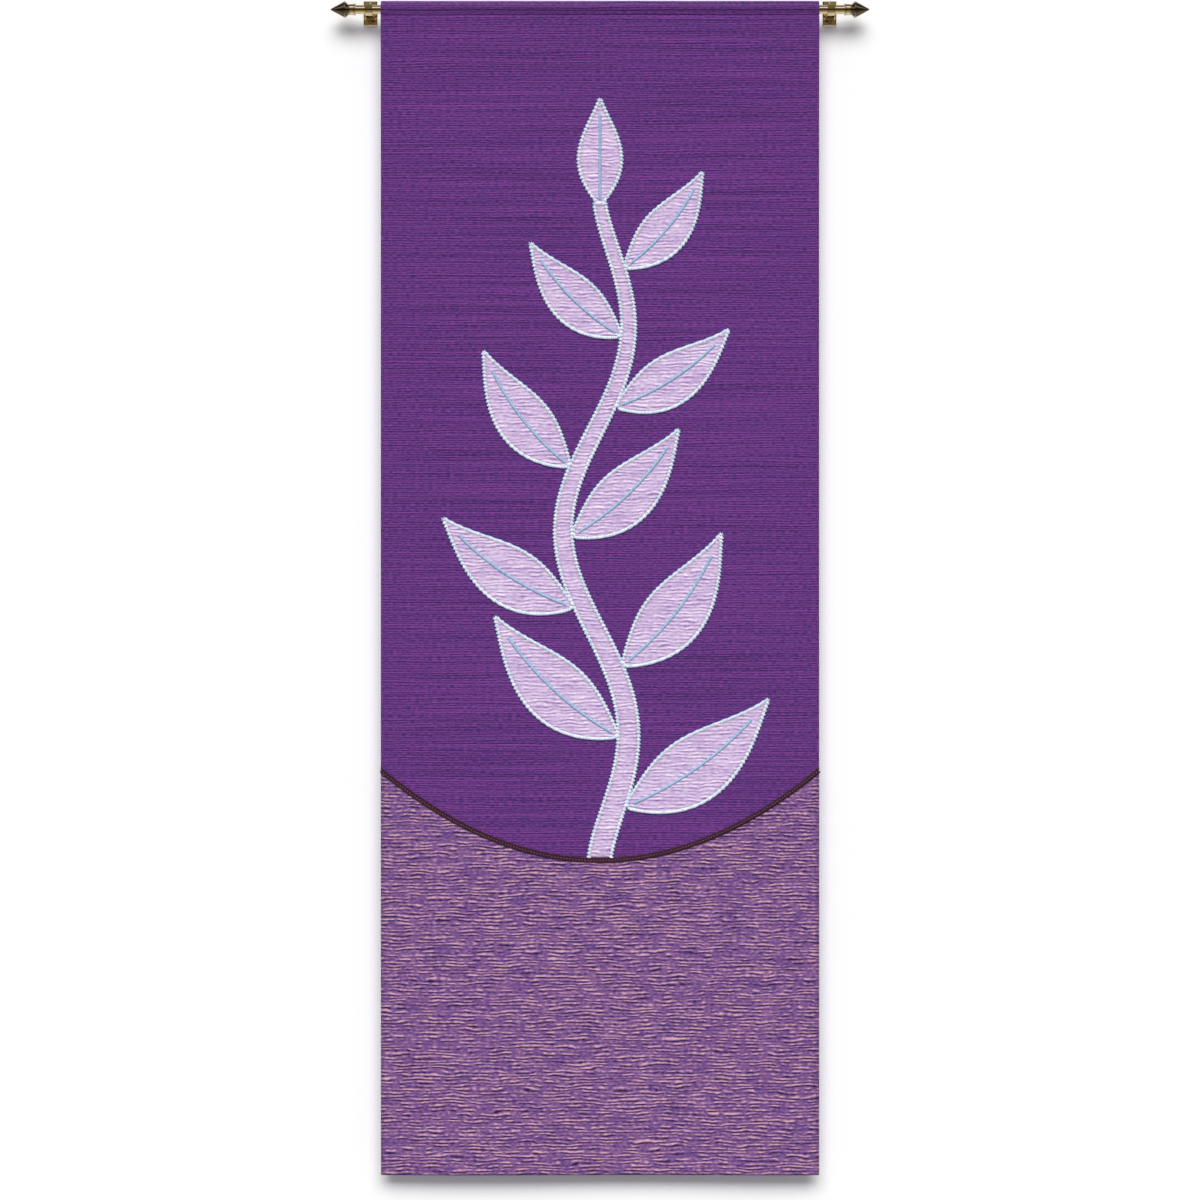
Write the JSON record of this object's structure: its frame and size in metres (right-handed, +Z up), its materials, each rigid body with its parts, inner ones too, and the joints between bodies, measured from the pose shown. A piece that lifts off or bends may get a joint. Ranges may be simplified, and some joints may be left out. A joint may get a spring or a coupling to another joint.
{
  "type": "banner with hanging rod and brackets",
  "caption": "Tall narrow cloth banner with a stitched leaf vine and a curved lower panel, hung by a rod pocket from a slim brass rod on wall brackets.",
  "frame": {"origin": "on the wall plane, midway between the two brackets, at the height of the rod, which is that of the plates' centres", "axes": "+Z up along the banner's length, +X to the viewer's right along the rod, +Y into the wall, so the front faces -Y"},
  "size_m": [0.7346, 0.0353, 1.6054],
  "materials": {
    "ribbed_cloth": "woven with fine crosswise ribs",
    "panel_cloth": "slubbed crosswise weave",
    "patch_cloth": "slubbed crosswise weave",
    "braid": "flat braid",
    "brass": "polished"
  },
  "bodies": {
    "root": {"ground_cloth": "ribbed_cloth", "lower_panel": "panel_cloth", "panel_braid": "braid", "vine_stem": "patch_cloth", "leaf_01": "patch_cloth", "leaf_02": "patch_cloth", "leaf_03": "patch_cloth", "leaf_04": "patch_cloth", "leaf_05": "patch_cloth", "leaf_06": "patch_cloth", "leaf_07": "patch_cloth", "leaf_08": "patch_cloth", "leaf_09": "patch_cloth", "bud": "patch_cloth", "rod": "brass", "finial_left": "brass", "finial_right": "brass", "plate_left": "brass", "plate_right": "brass", "hook_left": "brass", "hook_right": "brass", "screw_left_top": "brass", "screw_left_bottom": "brass", "screw_right_top": "brass", "screw_right_bottom": "brass"}
  },
  "joints": []
}
